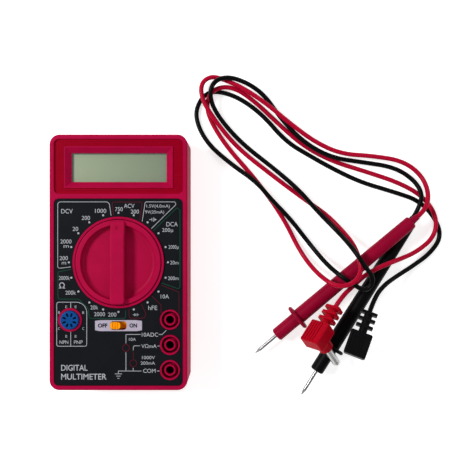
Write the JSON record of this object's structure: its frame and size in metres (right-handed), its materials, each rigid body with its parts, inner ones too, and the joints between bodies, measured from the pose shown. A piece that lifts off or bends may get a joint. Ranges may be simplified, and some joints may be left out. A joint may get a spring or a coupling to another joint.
{
  "type": "digital multimeter",
  "caption": "Hand-held digital multimeter with a blank display, rotary selector, power slider, banana jacks and a pair of loose test leads with probes.",
  "frame": {"origin": "centre of the bottom of the case, lying on its back on the surface it rests on", "axes": "+Z out of the face, +Y up the face towards the display, +X to the right as the face is read"},
  "size_m": [0.2006, 0.1667, 0.0326],
  "materials": {
    "battery_can": "printed metal jacket",
    "black_label": "matt printed sheet with a fine grain",
    "black_plastic": "flexible moulded plastic, satin",
    "black_resin": "potting resin",
    "black_wire": "soft vinyl insulation",
    "blue_plastic": "moulded plastic",
    "bright_metal": "tin plated",
    "clear_window": "clear acrylic",
    "copper_wire": "drawn resistance wire",
    "display_backing": "satin reflector film",
    "display_glass": "grey-green display glass",
    "fuse_tube": "glass tube",
    "gold_tracks": "gold plated copper",
    "green_board": "solder resist over woven glass laminate",
    "green_print": "screen print",
    "jack_brass": "turned brass",
    "needle_steel": "polished steel",
    "nickel_plate": "nickel plated brass",
    "orange_button": "moulded plastic",
    "orange_capacitor": "dipped film",
    "pale_print": "screen print",
    "red_knob": "moulded plastic, satin",
    "red_plug_plastic": "flexible moulded plastic, satin",
    "red_print": "screen print",
    "red_probe_plastic": "moulded plastic, satin",
    "red_shell": "moulded plastic with a soft gloss and a fine grain",
    "red_wire": "soft vinyl insulation",
    "screw_steel": "zinc plated steel",
    "spring_steel": "spring strip",
    "tan_resistor": "lacquered, with coloured bands",
    "white_plastic": "moulded plastic",
    "white_print": "screen print",
    "zebra_rubber": "striped contact rubber"
  },
  "bodies": {
    "housing": {"battery_body": "battery_can", "battery_snap": "black_plastic", "battery_terminals": "bright_metal", "battery_wire_black": "black_wire", "battery_wire_red": "red_wire", "board_screws": "screw_steel", "capacitors": "orange_capacitor", "case_screws": "screw_steel", "chip_blob": "black_resin", "face_label": "black_label", "front_case": "red_shell", "fuse_caps": "bright_metal", "fuse_clips": "bright_metal", "fuse_glass": "fuse_tube", "jack_sleeve_common": "jack_brass", "jack_sleeve_ten_amp": "jack_brass", "jack_sleeve_volts": "jack_brass", "lcd_backing": "display_backing", "lcd_glass": "display_glass", "lcd_holder": "white_plastic", "lcd_window": "clear_window", "main_board": "green_board", "rear_case": "red_shell", "resistors": "tan_resistor", "shunt_wire": "copper_wire", "socket_contacts": "bright_metal", "switch_housing": "black_plastic", "switch_pins": "bright_metal", "switch_tracks": "gold_tracks", "transistor_socket": "blue_plastic", "trimmer_pot": "blue_plastic", "zebra_strip": "zebra_rubber"},
    "selector": {"selector_knob": "red_knob", "detent_balls": "screw_steel", "detent_springs": "spring_steel", "contact_springs": "spring_steel"},
    "power_slider": {"slider_button": "orange_button", "slider_contact": "spring_steel"},
    "test_leads": {"black_cable": "black_wire", "black_pin_spring": "nickel_plate", "black_plug_body": "black_plastic", "black_plug_pin": "nickel_plate", "black_probe_handle": "black_plastic", "black_probe_needle": "needle_steel", "red_cable": "red_wire", "red_pin_spring": "nickel_plate", "red_plug_body": "red_plug_plastic", "red_plug_pin": "nickel_plate", "red_probe_handle": "red_probe_plastic", "red_probe_needle": "needle_steel"}
  },
  "joints": [
    {"name": "selector_turn", "type": "hinge", "parent": "housing", "child": "selector", "pos_m": [0, 0, 0.0226], "axis": [0, 0, 1], "continuous": true},
    {"name": "power_slide", "type": "slide", "parent": "housing", "child": "power_slider", "axis": [1, 0, 0], "range_m": [0, 0.0029]},
    {"name": "leads_lift", "type": "slide", "parent": "housing", "child": "test_leads", "axis": [0, 0, 1], "range_m": [0, 0.08]}
  ]
}
